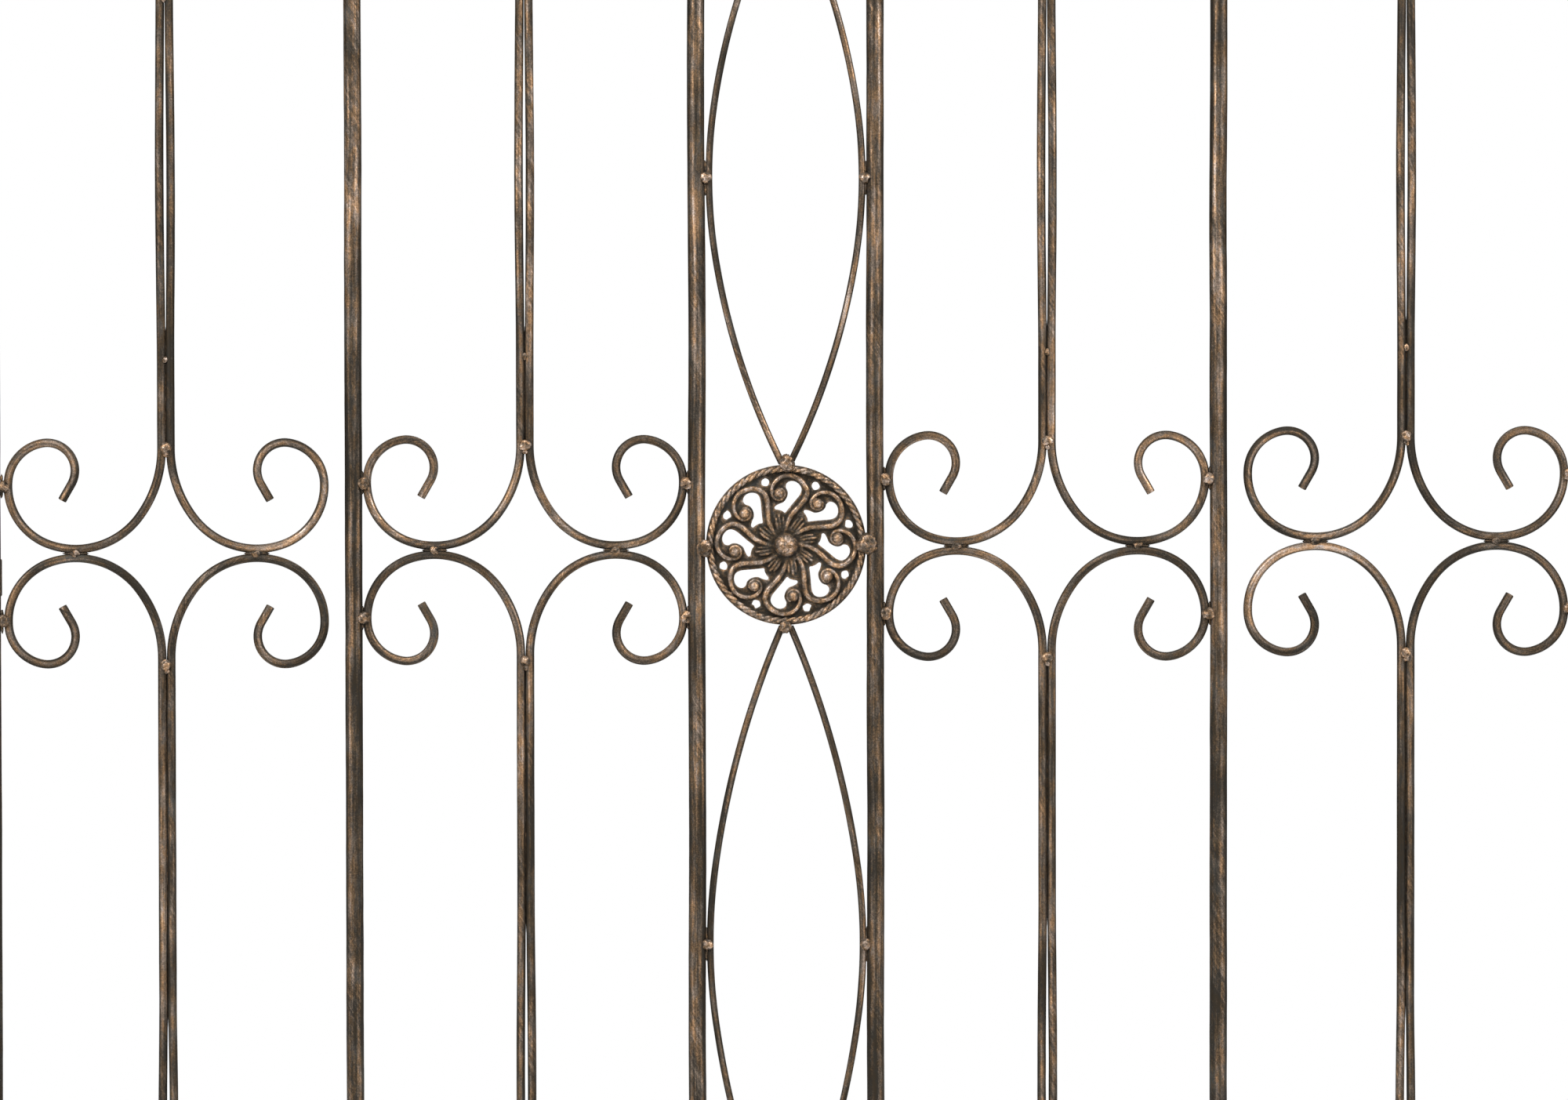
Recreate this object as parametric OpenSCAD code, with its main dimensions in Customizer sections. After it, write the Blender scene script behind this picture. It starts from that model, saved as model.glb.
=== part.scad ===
// Ornamental window security grille: six round bars between two square rails,
// four panels of paired scroll rods, two pairs of bow rods and a cast rosette,
// all joined by weld beads, with six drilled wall lugs behind the outer bars.
// X runs along the width, Z is up, the wall plane is y = 0 and the front faces -Y.
// The origin is the centre of the wall holes, on the wall plane.

/* [Bars and rails] */
// Diameter of the round security bars
bar_d = 12.7; // [11:0.1:12.7]
// Distance of the two innermost bars from the middle
inner_bar_x = 64.5; // [64.5:0.1:65]
// Distance of the second pair of bars from the middle
middle_bar_x = 312.7; // [312.7:0.1:313.2]
// Distance of the outer bars from the middle
outer_bar_x = 574.4; // [573:0.1:575]
// Half of the clear height between the two rails
half_opening = 495; // [490:1:500]
// Side of the square rails
rail_side = 16; // [14:0.5:16]

/* [Scroll panels] */
// Diameter of the scroll rods
rod_d = 6.35; // [6:0.05:6.35]
// Gap left between two rods that run side by side
rod_gap = 0.15; // [0.1:0.01:0.2]
// Distance of the inner rod pairs from the middle
inner_pair_x = 188.7; // [188.6:0.1:188.8]
// Distance of the outer rod pairs from the middle
outer_pair_x = 448.2; // [448:0.1:448.6]
// Height of each panel's crossing line against the rosette, from left to right
panel_z = [-5.5, -3.5, -1, 2]; // [-6:0.5:6]
// Radius of the first bend, where the rod leaves its neighbour
curl_r1 = 81.5; // [81:0.1:81.7]
// Radius of the second bend, through the crossing
curl_r2 = 57; // [56.8:0.1:57.1]
// Radius of the third bend, beside the bar
curl_r3 = 45; // [44.5:0.1:45.2]
// Radius of the fourth bend, over the top of the curl
curl_r4 = 30; // [29:0.5:31]
// Radius of the last bend, inside the curl
curl_r5 = 20; // [19:0.5:20]
// Length of the straight cut end of the curl
curl_end = 13.5; // [10:0.5:16]
// How far each rod of a pair bows aside between its welds
pair_bulge = 0.85; // [0.5:0.05:1]

/* [Bow rods] */
// Diameter of the bow rods
bow_d = 5; // [4.5:0.1:5]
// Half width of a pair of bow rods at their widest, between centre lines
bow_half = 55.3; // [54.5:0.1:55.5]
// Radius of the middle of an upper bow rod
bow_up_r = 365; // [350:5:380]
// Radius of the middle of a lower bow rod
bow_low_r = 410; // [400:5:430]

/* [Rosette] */
// Height of the rosette's centre above the wall holes' centre
rosette_z = 23; // [22:0.5:24]
// Outer radius of the rosette
rosette_r = 58.05; // [57.5:0.05:58.1]
// Radius of the domed boss in the middle
boss_r = 8.8; // [8:0.1:9]
// Radius of the eight ball ends
ball_r = 4.1; // [3.8:0.1:4.3]

/* [Wall lugs] */
// Thickness of the lugs
lug_t = 4; // [3:0.5:5]
// Half width of a lug, which is also the radius of its round end
lug_r = 15; // [13:0.5:16]
// Distance of the wall holes from the middle
hole_x = 600; // [598:1:604]
// Height of the upper and lower wall holes from the middle
hole_z = 440; // [400:5:450]
// Diameter of the wall holes
hole_d = 9; // [6.5:0.5:10.5]

/* [Hidden] */

bronze = [0.36, 0.28, 0.21];
bronze_dark = [0.24, 0.21, 0.18];
bronze_bright = [0.55, 0.40, 0.28];

plane_y = -(lug_t + bar_d / 2);          // centre plane of every bar and rod
bars_x = [-outer_bar_x, -middle_bar_x, -inner_bar_x, inner_bar_x, middle_bar_x, outer_bar_x];
pairs_x = [-outer_pair_x, -inner_pair_x, inner_pair_x, outer_pair_x];
rod_off = (rod_d + rod_gap) / 2;         // centre line of a rod from its pair's middle
shrink = 0.03;                           // every second length of a rod is this much thinner,
lap = 0.3;                               // and runs this far into its neighbours

// ---------- scroll rod geometry ----------
// Local frame of a rod: x away from its pair's middle, z away from the crossing line.
curl_r = [curl_r1, curl_r2, curl_r3, curl_r4, curl_r5];
curl_a = [38, 71, 76, 76, 129];          // turn of each bend, degrees
function turn(i) = i == 0 ? 0 : turn(i - 1) + curl_a[i - 1];
function curl_x(i) = i == 0 ? rod_off
    : curl_x(i - 1) + curl_r[i - 1] * (cos(turn(i - 1)) - cos(turn(i)));
function curl_dz(i) = i == 0 ? 0
    : curl_dz(i - 1) - curl_r[i - 1] * (sin(turn(i)) - sin(turn(i - 1)));
// lowest point of the curl lies at a turn of 90 degrees, in the second bend
curl_low_dz = curl_dz(1) - curl_r[1] * (1 - sin(turn(1)));
bend_z = rod_off - curl_low_dz;          // where the straight stem ends
cross_x = curl_x(1) + curl_r[1] * cos(turn(1));
// outermost point of the curl lies at a turn of 180 degrees, in the third bend
side_x = curl_x(2) + curl_r[2] * (cos(turn(2)) + 1);
side_z = bend_z + curl_dz(2) + curl_r[2] * sin(turn(2));

panel_mid = [for (p = [0 : 3]) rosette_z + panel_z[p]];
// length of the stem, from the crossing line to the rail's inner face
function stem_end(p, up) = half_opening - (up ? 1 : -1) * panel_mid[p];
// stations of the stem: end of the touching stretch, widest point, end of the bowed stretch
function stem_a(p, up) = up ? 148 : (p == 0 || p == 3 ? 330 : 262);
function stem_c(p, up) = up ? 396 : stem_end(p, up) - 9;
function stem_b(p, up) = (stem_a(p, up) + stem_c(p, up)) / 2;

module straight(x0, z0, x1, z1, d, ext0 = 0, ext1 = 0) {
    len = norm([x1 - x0, z1 - z0]);
    translate([x0, 0, z0]) rotate([0, atan2(x1 - x0, z1 - z0), 0])
        translate([0, 0, -ext0]) cylinder(d = d, h = len + ext0 + ext1, $fn = 40);
}

module bend(i, d, ext = 0) {
    e = ext / curl_r[i] * 180 / PI;
    translate([curl_x(i) + curl_r[i] * cos(turn(i)), 0,
               bend_z + curl_dz(i) + curl_r[i] * sin(turn(i))])
        rotate([90, 0, 0]) rotate([0, 0, 180 + turn(i) - e])
            rotate_extrude(angle = curl_a[i] + 2 * e, $fn = 120)
                translate([curl_r[i], 0]) circle(d = d, $fn = 40);
}

module stem_top(p, up) straight(rod_off, stem_c(p, up), rod_off, stem_end(p, up), rod_d);
module stem_bow_1(p, up)
    straight(rod_off + pair_bulge, stem_b(p, up), rod_off, stem_c(p, up), rod_d - shrink, lap, lap);
module stem_bow_2(p, up)
    straight(rod_off, stem_a(p, up), rod_off + pair_bulge, stem_b(p, up), rod_d);
module stem_low(p, up)
    straight(rod_off, bend_z, rod_off, stem_a(p, up), rod_d - shrink, lap, lap);

module rod_local(p, up) {
    stem_top(p, up);
    stem_bow_1(p, up);
    stem_bow_2(p, up);
    stem_low(p, up);
    for (i = [0 : 4]) bend(i, i % 2 == 0 ? rod_d : rod_d - shrink, i % 2 == 0 ? 0 : lap);
    translate([curl_x(5), 0, bend_z + curl_dz(5)])
        rotate([0, 180 - turn(5), 0]) translate([0, 0, -lap])
            cylinder(d = rod_d - shrink, h = curl_end + lap, $fn = 40);
}

// puts something drawn in a rod's local frame on its panel
module on_panel(p, up, side)
    translate([pairs_x[p], plane_y, panel_mid[p]])
        mirror([side < 0 ? 1 : 0, 0, 0]) mirror([0, 0, up ? 0 : 1]) children();

module scroll_rod(p, up, side) color(bronze) on_panel(p, up, side) rod_local(p, up);

// ---------- bars and rails ----------
module bar_solid(x) translate([x, plane_y, -half_opening]) cylinder(d = bar_d, h = 2 * half_opening, $fn = 64);
module bar(i) color(bronze_dark) bar_solid(bars_x[i]);

rail_half = outer_bar_x + bar_d / 2 + 1;
module rail(s) color(bronze_dark)
    translate([-rail_half, plane_y - rail_side / 2, s > 0 ? half_opening : -half_opening - rail_side])
        cube([2 * rail_half, rail_side, rail_side]);

// ---------- bow rods ----------
bow_tip = bow_d / 2 / cos(28) + 0.1;     // centre line's distance from the middle at a tip
rim_clear = 0.9;                         // from the rosette's edge to a bow's cut end
bow_up_top = half_opening;
bow_up_bottom = rosette_z + rosette_r + rim_clear;
bow_low_top = rosette_z - rosette_r - rim_clear;
bow_low_bottom = -half_opening;
function bow_mid(up) = up ? (bow_up_top + bow_up_bottom) / 2 : (bow_low_top + bow_low_bottom) / 2;
function bow_chord(up) = up ? (bow_up_top - bow_up_bottom) / 2 : (bow_low_top - bow_low_bottom) / 2;
function bow_r1(up) = up ? bow_up_r : bow_low_r;
function bow_a1(up) = up ? 9 : 8;
function bow_dz(up) = bow_chord(up) - bow_r1(up) * sin(bow_a1(up));
function bow_dx(up) = bow_half - bow_tip - bow_r1(up) * (1 - cos(bow_a1(up)));
function bow_r2(up) = (bow_dz(up) ^ 2 + bow_dx(up) ^ 2)
    / (2 * (bow_dx(up) * cos(bow_a1(up)) - bow_dz(up) * sin(bow_a1(up))));
function bow_a2(up) = asin(sin(bow_a1(up)) + bow_dz(up) / bow_r2(up));

module bow_arc(cx, r, a0, a1, d)
    translate([cx, 0, 0]) rotate([90, 0, 0]) rotate([0, 0, a0])
        rotate_extrude(angle = a1 - a0, $fn = 360) translate([r, 0]) circle(d = d, $fn = 40);

module bow_local(up) {
    a1 = bow_a1(up);
    r1 = bow_r1(up);
    r2 = bow_r2(up);
    a2 = bow_a2(up) + 1.5;
    e = lap / r1 * 180 / PI;
    dz = (r1 - r2) * sin(a1);
    cx = bow_half - r1 + (r1 - r2) * cos(a1);
    intersection() {
        union() {
            bow_arc(bow_half - r1, r1, -a1 - e, a1 + e, bow_d - shrink);
            translate([0, 0, dz]) bow_arc(cx, r2, a1, a2, bow_d);
            translate([0, 0, -dz]) bow_arc(cx, r2, -a2, -a1, bow_d);
        }
        translate([-bow_half, -10, -bow_chord(up)]) cube([3 * bow_half, 20, 2 * bow_chord(up)]);
    }
}
module bow_solid(up, side)
    translate([0, plane_y, bow_mid(up)]) mirror([side < 0 ? 1 : 0, 0, 0]) bow_local(up);
module bow_rod(up, side) color(bronze) bow_solid(up, side);

// ---------- rosette ----------
// Drawn in its own plane and turned upright; points are [angle clockwise from the top, radius].
rim_in = 52.6;
back_y = 2.6;
function polar(p) = [p[1] * sin(p[0]), p[1] * cos(p[0])];
hook_hole = [
    [49, 46.2], [45.5, 44.4], [44.8, 41.5], [46.3, 39.5], [47, 37], [45.6, 33.8], [41.5, 31],
    [35, 30], [28.5, 28.8], [28, 27], [33, 26], [39, 24.6], [43, 23.2], [47, 25],
    [52, 28.5], [57, 33], [60.4, 37.5], [60.8, 41.5], [58, 44.4], [53.5, 46.2]
];
rim_hole = [[23.4, 49.5], [22.2, 46.6], [26.4, 44.4], [30.8, 46.8], [30, 50], [26.8, 51.2]];
arm_line = [
    [46, 13], [49.5, 16.5], [54.5, 21.5], [60, 26], [64.8, 31], [67.6, 36.5], [66.6, 41.5],
    [63, 45], [58, 47.8], [52.5, 49.6], [47.5, 50.2], [42, 49.5], [37, 47.4],
    [33, 44.4], [30.6, 41], [29.8, 37.6], [31.2, 34.6]
];
function arm_half(k) = k < 5 ? 1.9 : (k < 10 ? 1.7 : 1.4);
function arm_dir(k) = let (a = polar(arm_line[max(k - 1, 0)]), b = polar(arm_line[min(k + 1, len(arm_line) - 1)]))
    (b - a) / norm(b - a);
function arm_side(s) = [for (k = [0 : len(arm_line) - 1])
    polar(arm_line[k]) + s * arm_half(k) * [arm_dir(k)[1], -arm_dir(k)[0]]];
arm_outline = concat(arm_side(1), [for (k = [len(arm_line) - 1 : -1 : 0]) arm_side(-1)[k]]);

// a slab between two depths, y measured from the plane of the bars, front negative
module slab(front, back) rotate([90, 0, 0]) translate([0, 0, -back]) linear_extrude(back - front) children();
module rosette_local() {
    difference() {
        union() {
            slab(-0.6, back_y) circle(r = rosette_r, $fn = 180);
            difference() {
                slab(-3.4, back_y) circle(r = rosette_r, $fn = 180);
                slab(-3.5, -0.6) circle(r = rim_in, $fn = 180);
            }
            for (i = [0 : 7]) rotate([0, 45 * i, 0]) {
                slab(-2.6, -0.5) polygon(arm_outline);
                translate([37.6 * sin(37.5), -1.2, 37.6 * cos(37.5)]) sphere(r = ball_r, $fn = 40);
            }
            slab(-3.2, -0.5) circle(r = 13, $fn = 90);
            translate([0, -0.6, 0]) sphere(r = boss_r, $fn = 64);
        }
        for (i = [0 : 7]) rotate([0, 45 * i, 0]) {
            slab(-12, 8) polygon([for (p = hook_hole) polar(p)]);
            slab(-12, 8) polygon([for (p = rim_hole) polar(p)]);
        }
        translate([-20, back_y, -20]) cube([40, 20, 40]);
    }
}
module rosette() color(bronze) translate([0, plane_y, rosette_z]) rosette_local();
// plain disc of the rosette's outer shape, for trimming the beads that sit against it
module rosette_disc() translate([0, plane_y, rosette_z]) slab(-3.4, back_y) circle(r = rosette_r, $fn = 180);

// ---------- wall lugs ----------
lug_in = outer_bar_x - 5.5;
module lug(side, z) color(bronze_dark)
    mirror([side < 0 ? 1 : 0, 0, 0]) difference() {
        union() {
            translate([lug_in, -lug_t, z - lug_r]) cube([hole_x - lug_in, lug_t, 2 * lug_r]);
            translate([hole_x, 0, z]) rotate([90, 0, 0]) cylinder(r = lug_r, h = lug_t, $fn = 72);
        }
        translate([hole_x, 1, z]) rotate([90, 0, 0]) cylinder(d = hole_d, h = lug_t + 2, $fn = 48);
    }

// ---------- weld beads ----------
// the part of a ball in front of a depth; y and back are measured from the plane of the bars
// and lie turns the ball's poles sideways, into the two rods that it joins
module bead(x, y, z, r, back, lie = true) intersection() {
    translate([x, plane_y + y, z]) rotate([0, lie ? 90 : 0, 0]) sphere(r = r, $fn = 32);
    translate([x - 2 * r, plane_y + back - 3 * r, z - 2 * r]) cube([4 * r, 3 * r, 4 * r]);
}

// fillets where the bars meet the rails
module bar_end_welds() color(bronze_dark)
    for (x = bars_x, s = [0, 1]) translate([x, plane_y, 0]) mirror([0, 0, s])
        translate([0, 0, half_opening]) mirror([0, 0, 1])
            rotate_extrude($fn = 64) polygon([[bar_d / 2, 0], [bar_d / 2 + 1.6, 0], [bar_d / 2, 3]]);

// beads where the rod pairs meet the rails
module rod_end_welds() color(bronze_dark)
    for (p = [0 : 3], s = [1, -1]) translate([pairs_x[p], plane_y, 0]) mirror([0, 0, s > 0 ? 0 : 1])
        translate([0, 0, half_opening]) difference() {
            translate([0, -0.8, -0.8]) sphere(r = 5.2, $fn = 32);
            for (side = [1, -1]) translate([side * rod_off, 0, -15]) cylinder(d = rod_d, h = 30, $fn = 40);
            translate([-10, -10, 0]) cube(20);
        }

// beads in the groove between the two rods of a pair
module pair_bead(p, up, z, y, r) difference() {
    bead(pairs_x[p], y, panel_mid[p] + (up ? z : -z), r, -1.4);
    for (side = [1, -1]) on_panel(p, up, side) {
        if (z < 120) bend(0, rod_d);
        if (z < 250) stem_low(p, up);
        if (z > 130) stem_bow_2(p, up);
        if (z > 350) { stem_bow_1(p, up); stem_top(p, up); }
    }
}
module pair_welds() color(bronze_bright)
    for (p = [0 : 3]) {
        pair_bead(p, true, bend_z + 0.5, -1.9, 4.2);
        pair_bead(p, false, bend_z + 5, -1.9, 4.2);
        pair_bead(p, true, 140, -1.9, 2.6);
        pair_bead(p, true, 400, -1.9, 2.6);
    }

// beads where upper and lower scrolls touch
module crossing_welds() color(bronze_bright)
    for (p = [0 : 3], side = [1, -1]) difference() {
        bead(pairs_x[p] + side * cross_x, -1.7, panel_mid[p], 3.7, -1.4, false);
        on_panel(p, true, side) bend(1, rod_d - shrink, lap);
        on_panel(p, false, side) bend(1, rod_d - shrink, lap);
    }

// beads where the scrolls meet the bars; the outer scrolls of panels 1 and 4 meet only the outer bars
module side_bead(p, up, side, bar_i) {
    edge = bars_x[bar_i] - side * bar_d / 2;
    difference() {
        bead((pairs_x[p] + side * (side_x + rod_d / 2) + edge) / 2 - side * 1.2, -2.6,
             panel_mid[p] + (up ? side_z : -side_z), 4.6, -1.6);
        on_panel(p, up, side) bend(2, rod_d);
        bar_solid(bars_x[bar_i]);
    }
}
module scroll_to_bar_welds() color(bronze_bright)
    for (up = [true, false]) {
        side_bead(0, up, -1, 0);
        side_bead(1, up, -1, 1);
        side_bead(1, up, 1, 2);
        side_bead(2, up, -1, 3);
        side_bead(2, up, 1, 4);
        side_bead(3, up, 1, 5);
    }

// beads where the bow rods touch the inner bars and meet the rails
module bow_welds() color(bronze_bright) {
    for (up = [true, false], side = [1, -1]) difference() {
        bead(side * (bow_half + bow_d / 2 - 0.5), -2.4, bow_mid(up), 4.3, -1.6);
        bow_solid(up, side);
        bar_solid(side * inner_bar_x);
    }
    for (up = [true, false]) difference() {
        bead(0, -0.6, up ? bow_up_top - 1 : bow_low_bottom + 1, 5.4, -0.6, false);
        bow_solid(up, 1);
        bow_solid(up, -1);
        translate([-10, plane_y - 10, up ? bow_up_top : bow_low_bottom - 20]) cube(20);
    }
}

// large beads that hold the rosette
module rosette_welds() color(bronze_bright) {
    for (side = [1, -1]) difference() {
        bead(side * (rosette_r + 0.4), -3.2, rosette_z + (side > 0 ? 1 : -1.6), side > 0 ? 7 : 5.7, -2.4);
        rosette_disc();
        bar_solid(side * inner_bar_x);
    }
    for (up = [true, false]) difference() {
        bead(0, -1.6, rosette_z + (up ? rosette_r + 1.7 : -rosette_r - 0.8), up ? 5.7 : 4.8, -1, false);
        rosette_disc();
        bow_solid(up, 1);
        bow_solid(up, -1);
    }
}

// fillets between the lugs and the backs of the outer bars
module lug_welds() color(bronze_dark)
    for (side = [1, -1], z = [hole_z, 0, -hole_z], s = [1, -1]) difference() {
        translate([side * outer_bar_x + (s > 0 ? 2.2 : -5.2), -lug_t - 2, z - 11]) cube([3, 2, 22]);
        bar_solid(side * outer_bar_x);
    }

bar(0);  // outer_bar_left
bar(1);  // middle_bar_left
bar(2);  // inner_bar_left
bar(3);  // inner_bar_right
bar(4);  // middle_bar_right
bar(5);  // outer_bar_right
rail(1);  // top_rail
rail(-1);  // bottom_rail
scroll_rod(0, true, -1);  // panel_1_scroll_upper_left
scroll_rod(0, true, 1);  // panel_1_scroll_upper_right
scroll_rod(0, false, -1);  // panel_1_scroll_lower_left
scroll_rod(0, false, 1);  // panel_1_scroll_lower_right
scroll_rod(1, true, -1);  // panel_2_scroll_upper_left
scroll_rod(1, true, 1);  // panel_2_scroll_upper_right
scroll_rod(1, false, -1);  // panel_2_scroll_lower_left
scroll_rod(1, false, 1);  // panel_2_scroll_lower_right
scroll_rod(2, true, -1);  // panel_3_scroll_upper_left
scroll_rod(2, true, 1);  // panel_3_scroll_upper_right
scroll_rod(2, false, -1);  // panel_3_scroll_lower_left
scroll_rod(2, false, 1);  // panel_3_scroll_lower_right
scroll_rod(3, true, -1);  // panel_4_scroll_upper_left
scroll_rod(3, true, 1);  // panel_4_scroll_upper_right
scroll_rod(3, false, -1);  // panel_4_scroll_lower_left
scroll_rod(3, false, 1);  // panel_4_scroll_lower_right
bow_rod(true, -1);  // bow_rod_upper_left
bow_rod(true, 1);  // bow_rod_upper_right
bow_rod(false, -1);  // bow_rod_lower_left
bow_rod(false, 1);  // bow_rod_lower_right
rosette();
lug(-1, hole_z);  // wall_lug_top_left
lug(-1, 0);  // wall_lug_middle_left
lug(-1, -hole_z);  // wall_lug_bottom_left
lug(1, hole_z);  // wall_lug_top_right
lug(1, 0);  // wall_lug_middle_right
lug(1, -hole_z);  // wall_lug_bottom_right
bar_end_welds();
rod_end_welds();
pair_welds();
crossing_welds();
scroll_to_bar_welds();
bow_welds();
rosette_welds();
lug_welds();
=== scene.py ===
import math

import bmesh
import bpy
import numpy as np
from mathutils import Matrix, Vector


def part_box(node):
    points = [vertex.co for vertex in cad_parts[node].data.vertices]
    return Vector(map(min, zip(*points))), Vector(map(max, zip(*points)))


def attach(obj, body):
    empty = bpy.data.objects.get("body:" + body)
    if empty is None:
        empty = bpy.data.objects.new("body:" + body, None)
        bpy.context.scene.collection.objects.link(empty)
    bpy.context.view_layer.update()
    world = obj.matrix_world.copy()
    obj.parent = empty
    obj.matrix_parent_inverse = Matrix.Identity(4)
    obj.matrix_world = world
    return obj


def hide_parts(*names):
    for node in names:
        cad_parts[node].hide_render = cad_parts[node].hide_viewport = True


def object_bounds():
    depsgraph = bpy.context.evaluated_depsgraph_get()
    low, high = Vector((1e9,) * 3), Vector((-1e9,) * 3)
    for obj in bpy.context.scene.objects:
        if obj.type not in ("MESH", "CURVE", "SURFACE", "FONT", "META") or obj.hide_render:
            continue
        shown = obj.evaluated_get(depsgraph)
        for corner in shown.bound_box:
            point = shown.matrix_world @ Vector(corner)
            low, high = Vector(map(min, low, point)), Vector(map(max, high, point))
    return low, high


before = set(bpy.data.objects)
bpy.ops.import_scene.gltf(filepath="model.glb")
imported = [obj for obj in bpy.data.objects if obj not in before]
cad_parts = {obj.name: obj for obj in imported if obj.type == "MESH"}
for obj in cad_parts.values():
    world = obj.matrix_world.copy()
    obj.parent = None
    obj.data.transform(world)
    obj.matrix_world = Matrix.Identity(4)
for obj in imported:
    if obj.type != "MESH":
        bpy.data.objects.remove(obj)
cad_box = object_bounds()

MM = 0.001
PLANE_Y = -10.35          # depth of the plane through the bars' centres
HALF = 495.0              # rails' inner faces
BARS = {
    "outer_bar_left": -574.4, "middle_bar_left": -312.7, "inner_bar_left": -64.5,
    "inner_bar_right": 64.5, "middle_bar_right": 312.7, "outer_bar_right": 574.4,
}
BAR_R = 6.35
PAIRS = [-448.2, -188.7, 188.7, 448.2]
PANEL_Z = [-5.5, -3.5, -1.0, 2.0]
ROD_R = 3.175
ROD_OFF = 3.25
BULGE = 0.85
CURL_R = [81.5, 57.0, 45.0, 30.0, 20.0]
CURL_A = [38.0, 71.0, 76.0, 76.0, 129.0]
CURL_END = 13.5
BOW_R = 2.5
BOW_HALF = 55.3
ROSE_Z = 23.0
ROSE_R = 58.05


# ---------------------------------------------------------------- small tools
def waves(seed, count, low, high):
    """A smooth random function of points in mm; low and high bound the waves' lengths."""
    rng = np.random.default_rng(seed)
    way = rng.normal(size=(count, 3))
    way /= np.linalg.norm(way, axis=1)[:, None]
    k = 2 * np.pi / np.exp(rng.uniform(np.log(low), np.log(high), count))
    phase = rng.uniform(0, 2 * np.pi, count)
    size = 1 / np.sqrt(k)
    size /= np.sqrt((size ** 2).sum() / 2)
    return lambda p: (np.sin(p @ (way * k[:, None]).T + phase) * size).sum(-1)


def mesh_object(name, co, faces, smooth=True):
    me = bpy.data.meshes.new(name)
    me.from_pydata([tuple(c) for c in np.asarray(co, float) * MM], [], faces)
    me.update()
    if smooth:
        me.polygons.foreach_set("use_smooth", np.ones(len(me.polygons), bool))
    ob = bpy.data.objects.new(name, me)
    bpy.context.scene.collection.objects.link(ob)
    return ob


def add_vectors(ob, name, values):
    at = ob.data.attributes.new(name, "FLOAT_VECTOR", "POINT")
    at.data.foreach_set("vector", np.asarray(values, np.float32).ravel())


def add_floats(ob, name, values):
    at = ob.data.attributes.new(name, "FLOAT", "POINT")
    at.data.foreach_set("value", np.asarray(values, np.float32).ravel())


def sweep(path, radius, sides, flat=False):
    """Closed tube round a path in an upright plane, with rounded-off cut ends. Returns points, faces, angle, length
    along, tangents and normals.
    """
    path = np.asarray(path, float)
    step = np.linalg.norm(np.diff(path, axis=0), axis=1)
    s = np.concatenate([[0], np.cumsum(step)])
    t = np.gradient(path, s, axis=0)
    t /= np.linalg.norm(t, axis=1)[:, None]
    y = np.array([0.0, 1.0, 0.0])
    n = np.cross(y, t)
    n /= np.linalg.norm(n, axis=1)[:, None]
    th = np.linspace(0, 2 * np.pi, sides, endpoint=False)
    radius = np.broadcast_to(np.asarray(radius, float), (len(path), sides) if np.ndim(radius) == 2 else (len(path),))
    rr = radius if radius.ndim == 2 else np.repeat(radius[:, None], sides, 1)
    ring = path[:, None] + rr[..., None] * (np.cos(th)[None, :, None] * n[:, None] + np.sin(th)[None, :, None] * y)
    # cut ends: a small chamfer ring, then the flat face
    cap = min(0.35, 0.3 * float(rr.mean()))
    first = path[0] + (ring[0] - path[0]) * (1 - cap / rr.mean())
    last = path[-1] + (ring[-1] - path[-1]) * (1 - cap / rr.mean())
    ring[0] += t[0] * cap
    ring[-1] -= t[-1] * cap
    rows = np.concatenate([first[None], ring, last[None]])
    srow = np.concatenate([[s[0]], s, [s[-1]]])
    co = np.concatenate([rows.reshape(-1, 3), path[:1], path[-1:]])
    m = len(rows)
    i = np.arange(m - 1)[:, None] * sides
    j = np.arange(sides)[None]
    k = (j + 1) % sides
    quads = np.stack([i + j, i + k, i + sides + k, i + sides + j], -1).reshape(-1, 4)
    faces = quads.tolist()
    a, b = m * sides, m * sides + 1
    faces += [[a, (q + 1) % sides, q] for q in range(sides)]
    faces += [[b, (m - 1) * sides + q, (m - 1) * sides + (q + 1) % sides] for q in range(sides)]
    ang = np.concatenate([np.tile(th, m), [0, 0]])
    along = np.concatenate([np.repeat(srow, sides), [s[0], s[-1]]])
    return co, faces, ang, along, t, n


# painted highlight and shade across the front of a bar or rod: lighter bands where the lamps would glint (two on the
# bars, one broad band on the rods), with painted shade darkening towards the edges
SHEEN_AND_SHADE_BAR = ([-1, -0.86, -0.66, -0.38, -0.06, 0.22, 0.50, 0.74, 0.88, 1],
              [-0.40, -0.26, -0.04, 0.09, -0.06, -0.02, 0.08, -0.05, -0.24, -0.40])
SHEEN_AND_SHADE_ROD = ([-1, -0.82, -0.55, -0.2, 0.25, 0.58, 0.84, 1], [-0.36, -0.20, 0.0, 0.06, 0.06, -0.02, -0.22, -0.36])


HEAT_AND_SHADE_SPOTS = []                  # weld positions (x, z): the finish round them is painted darker, partly heat-darkened finish and partly painted shade in the gaps beside the welds


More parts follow.
